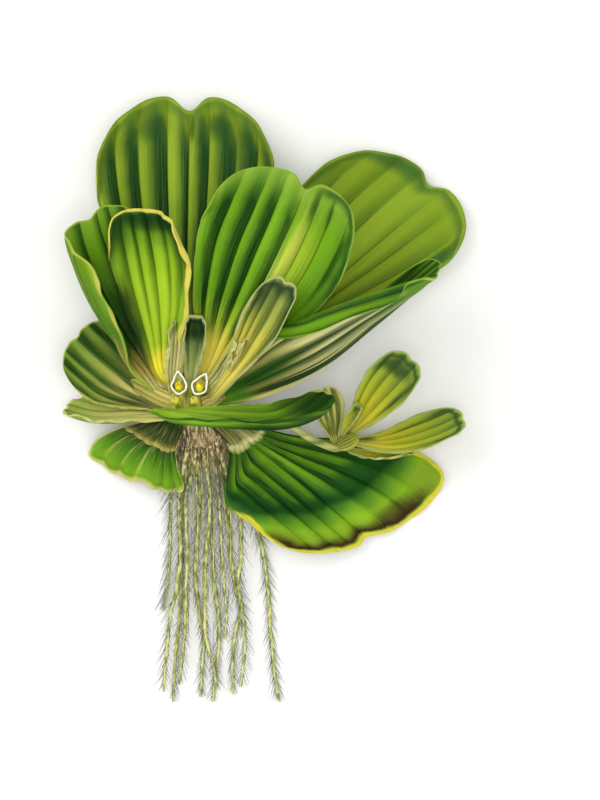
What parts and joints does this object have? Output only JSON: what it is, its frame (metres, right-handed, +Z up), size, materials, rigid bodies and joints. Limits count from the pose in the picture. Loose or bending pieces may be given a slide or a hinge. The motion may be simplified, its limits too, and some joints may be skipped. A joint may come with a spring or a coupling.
{
  "type": "water lettuce plant",
  "caption": "Floating aquatic plant with ribbed rounded leaves, small hooded flowers, feathery roots and a young offset on a runner, lying on its back.",
  "frame": {"origin": "centre of the bounding box's bottom face, on the surface the plant lies on", "axes": "+Y from the root tips to the tip of the back leaf, +Z up from the surface, towards the face of the rosette, +X to the right of the plant seen from above"},
  "size_m": [0.1614, 0.243, 0.0644],
  "materials": {
    "leaf_green": "satin",
    "leaf_old_green": "satin",
    "leaf_young_green": "satin",
    "leaf_pale": "satin",
    "cream": "satin",
    "yellow": "satin",
    "root_olive": "satin"
  },
  "bodies": {
    "root": {"back_leaf_left": "leaf_old_green", "back_leaf_right": "leaf_old_green", "bud_left": "yellow", "bud_right": "yellow", "centre_leaf": "leaf_young_green", "crown": "leaf_pale", "daughter_crown": "leaf_pale", "daughter_leaf_left": "leaf_pale", "daughter_leaf_low": "cream", "daughter_leaf_right": "leaf_pale", "daughter_leaf_up": "leaf_pale", "daughter_leaf_young": "leaf_young_green", "flower_hood_left": "cream", "flower_hood_right": "cream", "flower_spike_left": "yellow", "flower_spike_right": "yellow", "front_leaf": "leaf_green", "left_leaf": "leaf_green", "low_left_leaf": "leaf_green", "lower_left_leaf": "leaf_green", "lower_right_leaf": "leaf_green", "middle_leaf": "leaf_green", "outer_left_leaf": "leaf_green", "right_folded_leaf": "leaf_green", "root_01": "root_olive", "root_02": "root_olive", "root_03": "root_olive", "root_04": "root_olive", "root_05": "root_olive", "root_06": "root_olive", "root_07": "root_olive", "root_08": "root_olive", "root_09": "root_olive", "root_10": "root_olive", "root_11": "root_olive", "runner": "leaf_pale", "side_left_leaf": "leaf_green", "young_leaf": "leaf_young_green"}
  },
  "joints": []
}
